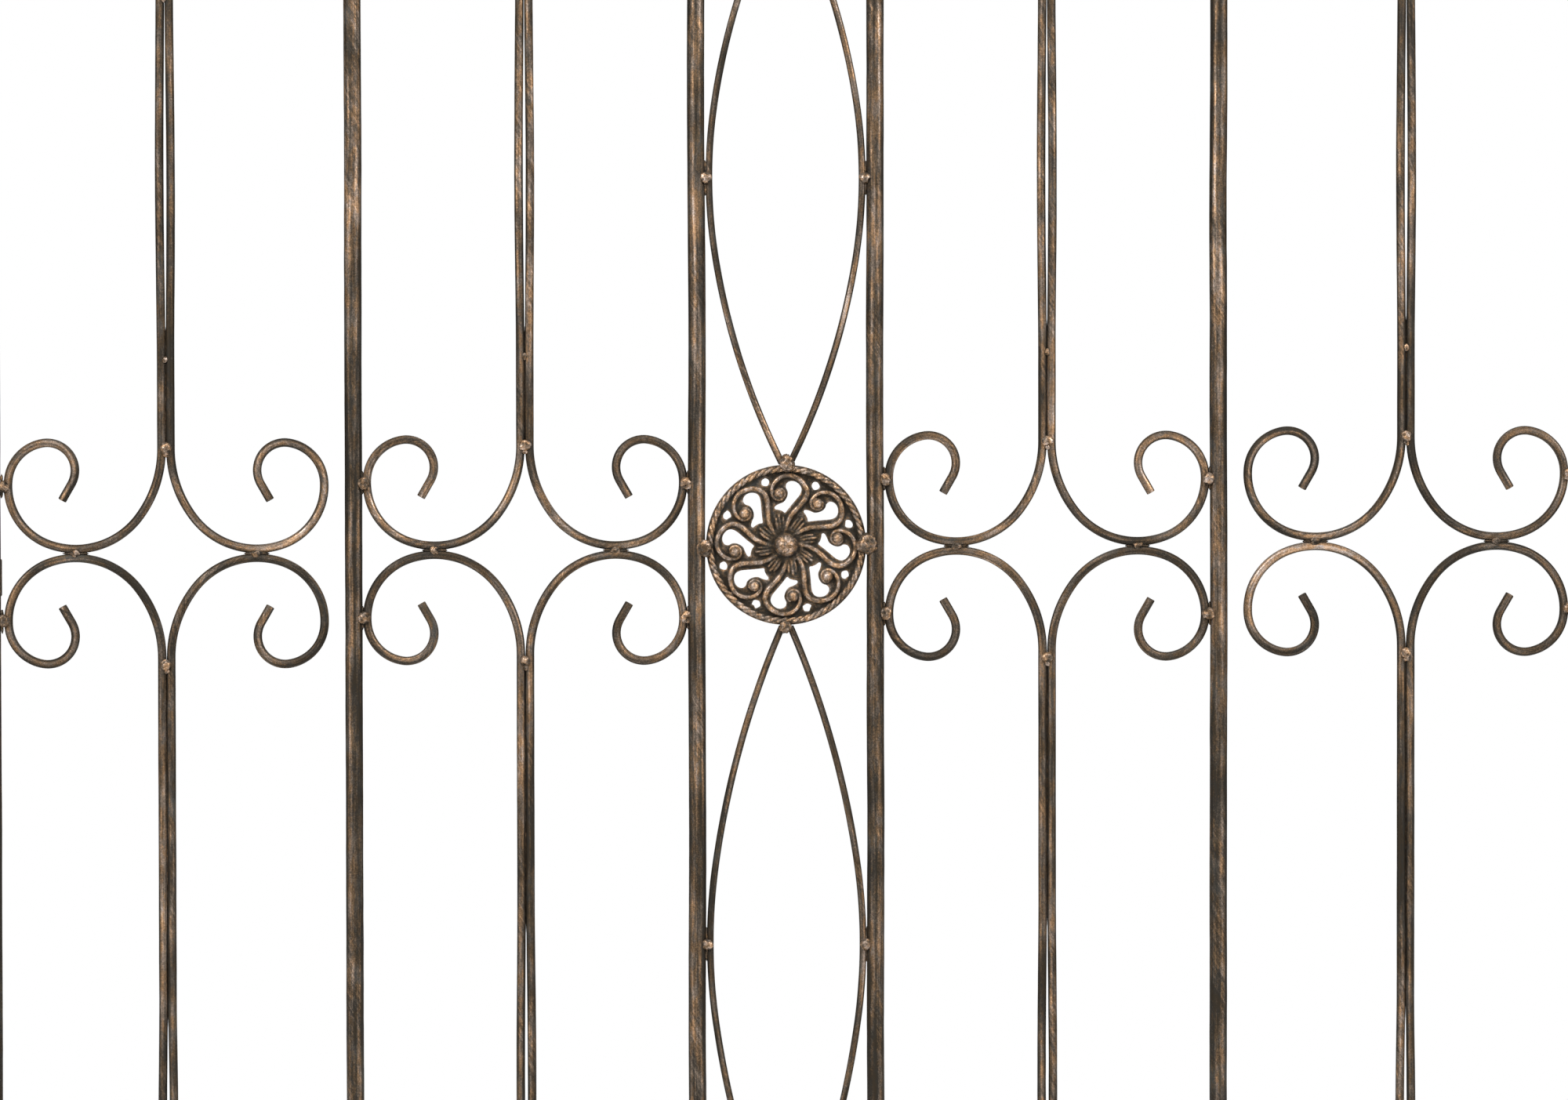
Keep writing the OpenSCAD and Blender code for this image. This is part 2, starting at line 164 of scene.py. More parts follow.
def rod(name, path, r, sides, seed, tone, twist=35.0, rough=0.06, sway=0.0, sheen_and_shade=SHEEN_AND_SHADE_ROD, bottom_shade_tone=None):
    """A round bar or rod as one mesh with its own unrolled coordinates."""
    path = np.asarray(path, float)
    ends = np.minimum(np.arange(len(path)), np.arange(len(path))[::-1])
    calm = np.clip(ends / 12, 0, 1)
    if sway:
        f, g = waves(seed + 1, 12, 90, 400), waves(seed + 2, 12, 90, 400)
        path = path + np.stack([f(path) * sway * calm, 0 * calm, g(path) * sway * 0], -1)
    th = np.linspace(0, 2 * np.pi, sides, endpoint=False)
    s = np.concatenate([[0], np.cumsum(np.linalg.norm(np.diff(path, axis=0), axis=1))])
    grid = np.stack(np.broadcast_arrays(np.cos(th)[None] * r, np.sin(th)[None] * r, s[:, None] * 0.5), -1)
    rr = r - rough + waves(seed, 40, 4, 60)(grid) * rough * 0.5
    co, faces, ang, along, *_ = sweep(path, rr, sides)
    flip = np.linalg.det(np.stack([np.cross([0, 1, 0], path[1] - path[0]), [0, 1, 0], path[1] - path[0]])) < 0
    ob = mesh_object(name, co, [f[::-1] for f in faces] if flip else faces)
    bm = bmesh.new()
    bm.from_mesh(ob.data)
    bmesh.ops.recalc_face_normals(bm, faces=bm.faces)
    bm.to_mesh(ob.data)
    bm.free()
    off = np.array([0.173, 0.411, 0.777]) * seed
    own = np.stack([np.cos(ang) * r, np.sin(ang) * r, along], -1) * MM + off
    add_vectors(ob, "rod", own)
    k = math.tan(math.radians(twist)) / r
    a2 = ang + k * along
    add_vectors(ob, "twist", np.stack([np.cos(a2) * r, np.sin(a2) * r, along], -1) * MM + off)
    slow = waves(seed + 5, 8, 60, 300)
    across, facing = -np.cos(ang), -np.sin(ang)
    # painted light: the front gets the painted highlight and shade profile across it, and the back is painted darker as
    # shade
    shade = np.where(facing > 0, np.interp(across, *sheen_and_shade), -0.12 - 0.26 * np.abs(across) ** 3)
    # painted shade: a second, lower tone darkens the piece towards its bottom, standing in for light from above
    level = tone if bottom_shade_tone is None else np.interp(co[:, 2], [-350, 450], [bottom_shade_tone, tone])
    # painted shade round the welds: rods and bars darken near each weld, where the gaps beside it lie in shade, partly
    # heat-darkened finish too
    heat_and_shade = np.zeros(len(co))
    for x, z in HEAT_AND_SHADE_SPOTS:
        heat_and_shade += np.exp(-((co[:, 0] - x) ** 2 + (co[:, 2] - z) ** 2) / 26)
    add_floats(ob, "tone", level + shade - 0.13 * np.minimum(heat_and_shade, 1)
               + 0.08 * slow(np.stack([0 * along, 0 * along, along], -1)))
    return ob


# ---------------------------------------------------------------- materials
def nodes_of(name):
    mat = bpy.data.materials.new(name)
    mat.use_nodes = True
    tree = mat.node_tree
    tree.nodes.clear()
    out = tree.nodes.new("ShaderNodeOutputMaterial")
    bsdf = tree.nodes.new("ShaderNodeBsdfPrincipled")
    tree.links.new(bsdf.outputs[0], out.inputs[0])
    return mat, tree, bsdf


class Net:
    """Short calls for building a node tree."""

    def __init__(self, tree):
        self.t = tree

    def put(self, sock, value):
        if isinstance(value, bpy.types.NodeSocket):
            self.t.links.new(value, sock)
        else:
            sock.default_value = value

    def vec(self, v, scale):
        n = self.t.nodes.new("ShaderNodeVectorMath")
        n.operation = "MULTIPLY"
        self.put(n.inputs[0], v)
        n.inputs[1].default_value = scale
        return n.outputs[0]

    def math(self, op, a, b=0.0, c=0.0, clamp=False):
        n = self.t.nodes.new("ShaderNodeMath")
        n.operation, n.use_clamp = op, clamp
        for sock, v in zip(n.inputs, (a, b, c)):
            self.put(sock, v)
        return n.outputs[0]

    def noise(self, v, scale, detail=4.0, rough=0.55, distort=0.0):
        n = self.t.nodes.new("ShaderNodeTexNoise")
        self.put(n.inputs["Vector"], v)
        n.inputs["Scale"].default_value = scale
        n.inputs["Detail"].default_value = detail
        n.inputs["Roughness"].default_value = rough
        n.inputs["Distortion"].default_value = distort
        return n.outputs[0]

    def cells(self, v, scale):
        n = self.t.nodes.new("ShaderNodeTexVoronoi")
        self.put(n.inputs["Vector"], v)
        n.inputs["Scale"].default_value = scale
        return n.outputs[0]

    def span(self, v, a, b, c=0.0, d=1.0, smooth=True):
        n = self.t.nodes.new("ShaderNodeMapRange")
        n.interpolation_type = "SMOOTHSTEP" if smooth else "LINEAR"
        self.put(n.inputs[0], v)
        for sock, x in zip(n.inputs[1:5], (a, b, c, d)):
            self.put(sock, x)
        return n.outputs[0]

    def ramp(self, v, stops):
        n = self.t.nodes.new("ShaderNodeValToRGB")
        self.put(n.inputs[0], v)
        el = n.color_ramp.elements
        while len(el) < len(stops):
            el.new(0.5)
        for e, (p, c) in zip(el, stops):
            e.position, e.color = p, (*c, 1.0)
        return n.outputs[0]

    def blend(self, f, a, b, kind="MIX"):
        n = self.t.nodes.new("ShaderNodeMix")
        n.data_type, n.blend_type = "RGBA", kind
        self.put(n.inputs[0], f)
        self.put(n.inputs[6], (*a, 1.0) if isinstance(a, tuple) else a)
        self.put(n.inputs[7], (*b, 1.0) if isinstance(b, tuple) else b)
        return n.outputs[2]

    def attribute(self, name, out):
        n = self.t.nodes.new("ShaderNodeAttribute")
        n.attribute_name = name
        return n.outputs[out]

    def place(self):
        return self.t.nodes.new("ShaderNodeTexCoord").outputs["Object"]

    def split(self, v):
        n = self.t.nodes.new("ShaderNodeSeparateXYZ")
        self.put(n.inputs[0], v)
        return n.outputs

    def bump(self, height, distance, strength=1.0, normal=None):
        n = self.t.nodes.new("ShaderNodeBump")
        n.inputs["Strength"].default_value = strength
        n.inputs["Distance"].default_value = distance
        self.put(n.inputs["Height"], height)
        if normal is not None:
            self.put(n.inputs["Normal"], normal)
        return n.outputs[0]


DARK = (0.014, 0.011, 0.008)
BROWN = (0.056, 0.039, 0.026)
BRONZE = (0.152, 0.101, 0.067)
COPPER = (0.348, 0.228, 0.152)
PALE = (0.570, 0.425, 0.335)
COLD = (0.060, 0.062, 0.056)


GOLDEN = (1.12, 1.0, 0.80)
ASHEN = (0.87, 1.0, 1.17)


def finish_bronze(net, bsdf, wear_and_painted_light, fine, peel, hue, height, metal=0.35, rough=(0.36, 0.60)):
    """Paint layers over the factor of wear and painted light: colour, patchy roughness and a fine orange peel."""
    colour = net.ramp(wear_and_painted_light, [(0.0, DARK), (0.30, BROWN), (0.56, BRONZE), (0.80, COPPER), (1.0, PALE)])
    cold = net.math("MULTIPLY", net.span(fine, 0.52, 0.72), net.span(wear_and_painted_light, 0.55, 0.2))
    colour = net.blend(net.math("MULTIPLY", cold, 0.38), colour, COLD)
    colour = net.blend(1.0, colour, net.blend(net.span(hue, 0.40, 0.60), ASHEN, GOLDEN), "MULTIPLY")
    net.put(bsdf.inputs["Base Color"], colour)
    net.put(bsdf.inputs["Metallic"], net.span(wear_and_painted_light, 0.25, 0.85, metal * 0.4, metal))
    net.put(bsdf.inputs["Roughness"], net.math("ADD", net.span(wear_and_painted_light, 0.2, 0.9, rough[1], rough[0]),
                                               net.math("MULTIPLY", net.math("SUBTRACT", peel, 0.5), 0.16)))
    bsdf.inputs["Specular IOR Level"].default_value = 0.30
    bsdf.inputs["Specular Tint"].default_value = (1.0, 0.86, 0.70, 1.0)
    net.put(bsdf.inputs["Normal"], height)


def round_bronze(name, level, band_w, stroke_w, grain_w, stroke_scale, rough=(0.36, 0.60)):
    """Brushed antique bronze for bars and rods, on their own unrolled coordinates."""
    mat, tree, bsdf = nodes_of(name)
    net = Net(tree)
    own, twist = net.attribute("rod", 1), net.attribute("twist", 1)
    # the tone attribute brings in each piece's own tone together with its painted highlight and painted shade
    tone = net.attribute("tone", 2)
    band = net.noise(net.vec(own, (1, 1, 0.022)), 250, 2, 0.5)
    streak = net.noise(net.vec(own, (1, 1, 0.055)), 520, 4, 0.6)
    stroke = net.noise(net.vec(twist, (1, 1, 0.14)), stroke_scale, 3, 0.6, 0.5)
    speck = net.noise(own, 760, 4, 0.65)
    grain = net.noise(own, 1700, 3, 0.6)
    patch = net.noise(own, 26, 3, 0.5)
    brushed = net.span(net.noise(net.vec(own, (0.3, 0.3, 1)), 11, 1), 0.46, 0.60, 0.25, 2.6)
    w = net.math("MULTIPLY", net.math("SUBTRACT", band, 0.5), band_w)
    w = net.math("MULTIPLY_ADD", net.math("SUBTRACT", streak, 0.5), band_w * 0.8, w)
    w = net.math("MULTIPLY_ADD", net.math("MULTIPLY", net.math("SUBTRACT", stroke, 0.5), brushed), stroke_w, w)
    w = net.math("MULTIPLY_ADD", net.math("SUBTRACT", speck, 0.5), grain_w, w)
    w = net.math("MULTIPLY_ADD", net.math("SUBTRACT", grain, 0.5), grain_w * 0.8, w)
    w = net.math("MULTIPLY_ADD", net.math("SUBTRACT", patch, 0.5), 0.9, w)
    w = net.math("ADD", w, net.math("ADD", tone, level), clamp=True)
    h1 = net.bump(speck, 0.00014, 0.5)
    h2 = net.bump(grain, 0.00006, 0.45, h1)
    h3 = net.bump(stroke, 0.00018, 0.35, h2)
    hue = net.noise(net.vec(own, (1, 1, 0.35)), 230, 4, 0.65)
    finish_bronze(net, bsdf, w, patch, speck, hue, h3, rough=rough)
    return mat


def cast_bronze(name, level, depth=False, contrast=1.0, lump=0.0, metal=0.4, rough=(0.34, 0.58)):
    """Bronze for castings, beads and flat stock, on their own object coordinates. With depth, the piece's relief
    darkens recesses and brings in the painted highlight and painted shade stored with it.
    """
    mat, tree, bsdf = nodes_of(name)
    net = Net(tree)
    at = net.place()
    speck = net.noise(at, 560, 5, 0.7)
    grain = net.noise(at, 1450, 3, 0.6)
    mottle = net.noise(at, 190, 4, 0.55, 0.6)
    patch = net.noise(at, 45, 3, 0.5)
    w = net.math("MULTIPLY", net.math("SUBTRACT", speck, 0.5), 1.5 * contrast)
    w = net.math("MULTIPLY_ADD", net.math("SUBTRACT", grain, 0.5), 0.9 * contrast, w)
    w = net.math("MULTIPLY_ADD", net.math("SUBTRACT", mottle, 0.5), 1.2 * contrast, w)
    w = net.math("MULTIPLY_ADD", net.math("SUBTRACT", patch, 0.5), 0.5, w)
    w = net.math("ADD", w, level)
    if depth:
        w = net.math("ADD", w, net.attribute("relief", 2))
    w = net.math("ADD", w, 0.0, clamp=True)
    h1 = net.bump(speck, 0.00016, 0.6)
    h2 = net.bump(grain, 0.00006, 0.5, h1)
    h3 = net.bump(mottle, 0.0004, 0.35 + lump, h2)
    hue = net.noise(at, 260, 4, 0.65)
    finish_bronze(net, bsdf, w, patch, speck, hue, h3, metal=metal, rough=rough)
    return mat


BAR_MAT = round_bronze("antique_bronze_bars", -0.04, 1.6, 0.38, 0.95, 420)
ROD_MAT = round_bronze("antique_bronze_rods", -0.05, 1.6, 0.38, 0.85, 480)
ROSE_MAT = cast_bronze("antique_bronze_casting", 0.36, True)
BEAD_MAT = cast_bronze("antique_bronze_beads", 0.55, True, 0.9, 0.35, 0.45, (0.32, 0.52))
CROSS_MAT = cast_bronze("antique_bronze_crossings", 0.37, True, 0.9, 0.3)
BEAD_DARK_MAT = cast_bronze("antique_bronze_dark_beads", 0.34, False, 1.0, 0.3)
FLAT_MAT = cast_bronze("antique_bronze_flat", 0.34)


def dress(ob, mat, slot, *nodes):
    ob.data.materials.clear()
    ob.data.materials.append(mat)
    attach(ob, "root")
    if nodes:
        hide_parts(*nodes)
    return ob


# ---------------------------------------------------------------- scroll rods
def turn(i):
    return math.radians(sum(CURL_A[:i]))


def stem_marks(p, up):
    end = HALF - (1 if up else -1) * (23 + PANEL_Z[p])
    a = 148 if up else (330 if p in (0, 3) else 262)
    c = 396 if up else end - 9
    return a, c, end


def curl_start():
    # height of the lowest point below the bend puts the rod's underside on the panel's middle
    dz = 0.0
    dz -= CURL_R[0] * (math.sin(turn(1)) - math.sin(turn(0)))
    low = dz - CURL_R[1] * (1 - math.sin(turn(1)))
    return ROD_OFF - low


BEND_Z = curl_start()


def scroll_path(p, up, step=2.2):
    a, c, end = stem_marks(p, up)
    n = int((end - BEND_Z) / step)
    z = np.linspace(end, BEND_Z, n, endpoint=False)
    t = np.clip((z - a) / (c - a), 0, 1)
    x = ROD_OFF + BULGE * np.sin(np.pi * t) ** 1.4
    pts = [np.stack([x, z], -1)]
    px, pz = ROD_OFF, BEND_Z
    for i, (r, ang) in enumerate(zip(CURL_R, CURL_A)):
        t0, t1 = turn(i), turn(i + 1)
        n = max(8, int(r * (t1 - t0) / (step if r > 25 else step * 0.7)))
        t = np.linspace(t0, t1, n, endpoint=False)
        pts.append(np.stack([px + r * (math.cos(t0) - np.cos(t)), pz - r * (np.sin(t) - math.sin(t0))], -1))
        px += r * (math.cos(t0) - math.cos(t1))
        pz -= r * (math.sin(t1) - math.sin(t0))
    t = np.linspace(0, CURL_END, 5)[:, None]
    last = turn(5)
    pts.append(np.array([px, pz]) + t * np.array([math.sin(last), -math.cos(last)]))
    return np.concatenate(pts)


def frame_point(p, up, x, z, side=1):
    return PAIRS[p] + side * x, 23 + PANEL_Z[p] + (1 if up else -1) * z


curl_x = [ROD_OFF]
curl_z = [0.0]
for i in range(5):
    curl_x.append(curl_x[-1] + CURL_R[i] * (math.cos(turn(i)) - math.cos(turn(i + 1))))
    curl_z.append(curl_z[-1] - CURL_R[i] * (math.sin(turn(i + 1)) - math.sin(turn(i))))
CROSS_X = curl_x[1] + CURL_R[1] * math.cos(turn(1))
SIDE_X = curl_x[2] + CURL_R[2] * (math.cos(turn(2)) + 1)
SIDE_Z = BEND_Z + curl_z[2] + CURL_R[2] * math.sin(turn(2))

for p in range(4):
    for up in (True, False):
        for side in (-1, 1):
            bar = [-574.4, -312.7, -64.5, 64.5, 312.7, 574.4][[0, 1, 3, 4][p] + (side > 0)] if (p, side) not in ((0, 1), (3, -1)) else None
            if bar is not None:
                x, z = frame_point(p, up, SIDE_X + ROD_R, SIDE_Z, side)
                HEAT_AND_SHADE_SPOTS.append(((x + bar - side * BAR_R) / 2, z))
            if up:
                HEAT_AND_SHADE_SPOTS.append(frame_point(p, True, CROSS_X, 0, side))
HEAT_AND_SHADE_SPOTS += [(-(ROSE_R + 0.4), ROSE_Z - 1.2), (ROSE_R + 0.9, ROSE_Z + 0.8)]


# ---------------------------------------------------------------- bars
TONES = {"outer_bar_left": 0.40, "middle_bar_left": 0.44, "inner_bar_left": 0.36,
         "inner_bar_right": 0.51, "middle_bar_right": 0.32, "outer_bar_right": 0.38}
# painted shade: each bar's tone at its bottom end, lower than the tone at its top, standing in for light from above
BOTTOM_SHADE_TONES = {"outer_bar_left": 0.32, "middle_bar_left": 0.36, "inner_bar_left": 0.27,
             "inner_bar_right": 0.24, "middle_bar_right": 0.26, "outer_bar_right": 0.31}
for n, (node, x) in enumerate(BARS.items()):
    z = np.linspace(-HALF, HALF, 331)
    path = np.stack([np.full_like(z, x), np.full_like(z, PLANE_Y), z], -1)[::-1]
    dress(rod(node + "_bar", path, BAR_R, 40, 11 + n, TONES[node], 32, 0.07, 0.18, SHEEN_AND_SHADE_BAR, BOTTOM_SHADE_TONES[node]), BAR_MAT, "bars", node)


ROD_TONES = [0.33, 0.34, 0.42, 0.43, 0.44, 0.42, 0.33, 0.32, 0.34, 0.33, 0.33, 0.34, 0.34, 0.33, 0.34, 0.32]
for k in range(16):
    up, p, side = k < 8, (k % 8) // 2, -1 if k % 2 == 0 else 1
    node = f"panel_{p + 1}_scroll_{'upper' if up else 'lower'}_{'left' if side < 0 else 'right'}"
    xz = scroll_path(p, up)
    path = np.stack([PAIRS[p] + side * xz[:, 0], np.full(len(xz), PLANE_Y),
                     23 + PANEL_Z[p] + (1 if up else -1) * xz[:, 1]], -1)
    dress(rod(node + "_rod", path, ROD_R, 28, 41 + k, ROD_TONES[k], 30, 0.05), ROD_MAT, "rods", node)


# ---------------------------------------------------------------- bow rods
def bow_path(up):
    tip = BOW_R / math.cos(math.radians(28)) + 0.1
    top = HALF if up else ROSE_Z - ROSE_R - 0.9
    bottom = ROSE_Z + ROSE_R + 0.9 if up else -HALF
    mid, chord = (top + bottom) / 2, (top - bottom) / 2
    r1, a1 = (365.0, math.radians(9)) if up else (410.0, math.radians(8))
    dz = chord - r1 * math.sin(a1)
    dx = BOW_HALF - tip - r1 * (1 - math.cos(a1))
    r2 = (dz ** 2 + dx ** 2) / (2 * (dx * math.cos(a1) - dz * math.sin(a1)))
    a2 = math.asin(math.sin(a1) + dz / r2)
    a = np.linspace(a1, a2, 90)
    cx = BOW_HALF - r1 + (r1 - r2) * math.cos(a1)
    ends = np.stack([cx + r2 * np.cos(a), (r1 - r2) * math.sin(a1) + r2 * np.sin(a)], -1)
    b = np.linspace(-a1, a1, 50)[1:-1]
    middle = np.stack([BOW_HALF - r1 + r1 * np.cos(b), r1 * np.sin(b)], -1)
    half = np.concatenate([ends * [1, -1], ]) [::-1]
    return np.concatenate([half, middle, ends]), mid


BOWS = []
for k, (up, side) in enumerate([(True, -1), (True, 1), (False, -1), (False, 1)]):
    node = f"bow_rod_{'upper' if up else 'lower'}_{'left' if side < 0 else 'right'}"
    xz, mid = bow_path(up)
    path = np.stack([side * xz[:, 0], np.full(len(xz), PLANE_Y), mid + xz[:, 1]], -1)
    # painted shade: the lower bow rods get a darker tone than the upper ones, standing in for light from above
    BOWS.append(dress(rod(node + "_rod", path, BOW_R, 26, 71 + k, 0.40 if up else 0.33, 30, 0.05), ROD_MAT, "rods", node))


# ---------------------------------------------------------------- rails and lugs
def bevelled(name, build, width, segments=3):
    me = bpy.data.meshes.new(name)
    ob = bpy.data.objects.new(name, me)
    bpy.context.scene.collection.objects.link(ob)
    bm = bmesh.new()
    build(bm)
    bmesh.ops.remove_doubles(bm, verts=bm.verts, dist=1e-6)
    bmesh.ops.recalc_face_normals(bm, faces=bm.faces)
    sharp = [e for e in bm.edges if len(e.link_faces) == 2 and e.calc_face_angle() > 0.6]
    bmesh.ops.bevel(bm, geom=sharp, offset=width * MM, segments=segments, profile=0.5, affect="EDGES", clamp_overlap=True)
    bm.to_mesh(me)
    bm.free()
    me.polygons.foreach_set("use_smooth", np.ones(len(me.polygons), bool))
    mod = ob.modifiers.new("weighted", "WEIGHTED_NORMAL")
    mod.keep_sharp = False
    return ob


for node in ("top_rail", "bottom_rail"):
    lo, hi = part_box(node)

    def rail(bm):
        size, mid = hi - lo, (hi + lo) / 2
        bmesh.ops.create_cube(bm, size=1.0, matrix=Matrix.Translation(mid) @ Matrix.Diagonal((*size, 1)))
        # cuts along the rail's long edges, splitting its long faces into many short lengths
        long_edges = [e for e in bm.edges if abs(e.verts[0].co.x - e.verts[1].co.x) > 0.5]
        bmesh.ops.subdivide_edges(bm, edges=long_edges, cuts=60, use_grid_fill=True)

    dress(bevelled(node + "_square", rail, 1.3, 4), FLAT_MAT, "bars", node)

for node in [f"wall_lug_{h}_{s}" for h in ("top", "middle", "bottom") for s in ("left", "right")]:
    lo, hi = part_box(node)
    side = 1 if hi.x > 0 else -1
    zc, r, hx, hr = (lo.z + hi.z) / 2, 0.015, 0.600, 0.0045

    def lug(bm):
        seg = 72
        outer, hole = [], []
        inner_x = min(abs(lo.x), abs(hi.x))
        for q in range(seg):
            a = 2 * math.pi * (q + 0.5) / seg
            c, s = math.cos(a), math.sin(a)
            if c >= 0:
                outer.append((hx + r * c, zc + r * s))
            else:  # straight sides and the square inner end
                reach = min((hx - inner_x) / -c, r / max(abs(s), 1e-9))
                outer.append((hx + reach * c, zc + reach * s))
            hole.append((hx + hr * c, zc + hr * s))
        rows = [[bm.verts.new((side * x, yy, z)) for x, z in loop] for yy in (lo.y, hi.y) for loop in (outer, hole)]
        for q in range(seg):
            w = (q + 1) % seg
            of, hf, ob_, hb = rows
            bm.faces.new((of[q], of[w], hf[w], hf[q]))
            bm.faces.new((ob_[q], hb[q], hb[w], ob_[w]))
            bm.faces.new((of[q], ob_[q], ob_[w], of[w]))
            bm.faces.new((hf[q], hf[w], hb[w], hb[q]))

    dress(bevelled(node + "_plate", lug, 0.5, 2), FLAT_MAT, "lugs", node)


# ---------------------------------------------------------------- rosette
def polar(a, r):
    a = np.radians(a)
    return np.stack([np.sin(a) * r, np.cos(a) * r], -1)


def curve_through(points, closed, n):
    """A smooth line through given points."""
    p = np.asarray(points, float)
    if closed:
        p = np.concatenate([p[-1:], p, p[:2]])
    else:
        p = np.concatenate([2 * p[:1] - p[1:2], p, 2 * p[-1:] - p[-2:-1]])
    out = []
    t = np.linspace(0, 1, n, endpoint=False)[:, None]
    for i in range(1, len(p) - 2):
        a, b, c, d = p[i - 1:i + 3]
        out.append(0.5 * (2 * b + (c - a) * t + (2 * a - 5 * b + 4 * c - d) * t ** 2 + (3 * b - a - 3 * c + d) * t ** 3))
    if not closed:
        out.append(p[-2:-1])
    return np.concatenate(out)


HOOK_HOLE = polar(*np.array([
    [49, 46.2], [45.5, 44.4], [44.8, 41.5], [46.3, 39.5], [47, 37], [45.6, 33.8], [41.5, 31],
    [35, 30], [28.5, 28.8], [28, 27], [33, 26], [39, 24.6], [43, 23.2], [47, 25],
    [52, 28.5], [57, 33], [60.4, 37.5], [60.8, 41.5], [58, 44.4], [53.5, 46.2]]).T)
RIM_HOLE = polar(*np.array([[23.9, 49.2], [22.9, 47.2], [25.0, 45.4], [27.4, 45.0], [30.0, 46.5], [30.0, 49.2], [28.2, 50.0], [26.0, 50.6]]).T)
ARM = polar(*np.array([
    [38, 8.5], [46, 13], [49.5, 16.5], [54.5, 21.5], [60, 26], [64.8, 31], [67.6, 36.5], [66.6, 41.5],
    [63, 45], [58, 47.8], [52.5, 49.6], [47.5, 50.2], [42, 49.5], [37, 47.4],
    [33, 44.4], [30.6, 41], [29.8, 37.6]]).T)
BALL = polar(37.5, 37.6)


def spin(p, i):
    a = math.radians(45 * i)
    c, s = math.cos(a), math.sin(a)
    return np.stack([p[:, 0] * c + p[:, 1] * s, -p[:, 0] * s + p[:, 1] * c], -1)


parts_co, parts_faces, count = [], [], 0


def keep(co, faces):
    global count
    parts_co.append(np.asarray(co, float))
    parts_faces.extend([[v + count for v in f] for f in faces])
    count += len(co)


def ridge(line, half, front, base, sides=18):
    """A raised, rounded cord on the plate: line in the rosette's plane, half widths, front and base depths."""
    line = np.asarray(line, float)
    d = np.gradient(line, axis=0)
    d /= np.linalg.norm(d, axis=1)[:, None]
    n = np.stack([d[:, 1], -d[:, 0]], -1)
    th = np.linspace(0, 2 * np.pi, sides, endpoint=False)
    m = len(line)
    half = np.broadcast_to(half, (m,))
    front = np.broadcast_to(front, (m,))
    base = np.broadcast_to(base, (m,))
    side = np.cos(th)[None] * half[:, None]
    up = np.sin(th)[None]
    yy = np.where(up > 0, base[:, None] + (front - base)[:, None] * up, base[:, None] - 0.8 * up)
    xz = line[:, None] + side[..., None] * n[:, None]
    rows = np.stack([xz[..., 0], yy, xz[..., 1]], -1)
    co = np.concatenate([rows.reshape(-1, 3),
                         [[line[0, 0] - d[0, 0] * half[0] * .5, (front[0] + base[0]) / 2, line[0, 1] - d[0, 1] * half[0] * .5],
                          [line[-1, 0] + d[-1, 0] * half[-1] * .5, (front[-1] + base[-1]) / 2, line[-1, 1] + d[-1, 1] * half[-1] * .5]]])
    faces = []
    for i in range(m - 1):
        for j in range(sides):
            k = (j + 1) % sides
            faces.append([i * sides + j, i * sides + k, (i + 1) * sides + k, (i + 1) * sides + j])
    faces += [[m * sides, (q + 1) % sides, q] for q in range(sides)]
    faces += [[m * sides + 1, (m - 1) * sides + q, (m - 1) * sides + (q + 1) % sides] for q in range(sides)]
    keep(co, faces)


def ball(x, y, z, rx, ry, rz):
    bm = bmesh.new()
    bmesh.ops.create_icosphere(bm, subdivisions=4, radius=1.0)
    co = np.array([v.co for v in bm.verts]) * [rx, ry, rz] + [x, y, z]
    faces = [[v.index for v in f.verts] for f in bm.faces]
    bm.free()
    keep(co, faces)


def ring_solid(profile, seg, twist=None):
    """Turned shape about the rosette's axis: profile is (radius, y) round a closed loop."""
    prof = np.asarray(profile, float)
    m = len(prof)
    a = np.linspace(0, 2 * np.pi, seg, endpoint=False)
    co = np.stack([prof[None, :, 0] * np.sin(a)[:, None], np.repeat(prof[None, :, 1], seg, 0),
                   prof[None, :, 0] * np.cos(a)[:, None]], -1)
    faces = []
    for i in range(seg):
        for j in range(m):
            i2, j2 = (i + 1) % seg, (j + 1) % m
            faces.append([i * m + j, i * m + j2, i2 * m + j2, i2 * m + j])
    keep(co.reshape(-1, 3), faces)


# the pierced plate
curve = bpy.data.curves.new("plate", "CURVE")
curve.dimensions, curve.fill_mode = "2D", "BOTH"
loops = [polar(np.linspace(0, 360, 240, endpoint=False), 57.9)]
for i in range(8):
    loops.append(spin(curve_through(HOOK_HOLE, True, 4), i))
    nudge = np.array([[math.sin(9.1 * i + 2 * q), math.cos(7.3 * i + 3 * q)] for q in range(len(RIM_HOLE))]) * 0.32
    loops.append(spin(curve_through(RIM_HOLE + nudge, True, 5), i))
for loop in loops:
    sp = curve.splines.new("POLY")
    sp.points.add(len(loop) - 1)
    sp.points.foreach_set("co", np.concatenate([loop, np.zeros((len(loop), 1)), np.ones((len(loop), 1))], 1).ravel())
    sp.use_cyclic_u = True
curve.extrude = 1.1
curve.bevel_depth = 0.5
curve.bevel_resolution = 2
curve.offset = -0.5
tmp = bpy.data.objects.new("plate", curve)
bpy.context.scene.collection.objects.link(tmp)
plate = bpy.data.meshes.new_from_object(tmp.evaluated_get(bpy.context.evaluated_depsgraph_get()))
bpy.data.objects.remove(tmp)
bm = bmesh.new()
bm.from_mesh(plate)
bmesh.ops.remove_doubles(bm, verts=bm.verts, dist=1e-4)
bmesh.ops.recalc_face_normals(bm, faces=bm.faces)
bm.verts.ensure_lookup_table()
pc = np.array([v.co for v in bm.verts])
keep(np.stack([pc[:, 0], pc[:, 2] + 1.0, pc[:, 1]], -1), [[v.index for v in f.verts] for f in bm.faces])
bm.free()
bpy.data.meshes.remove(plate)

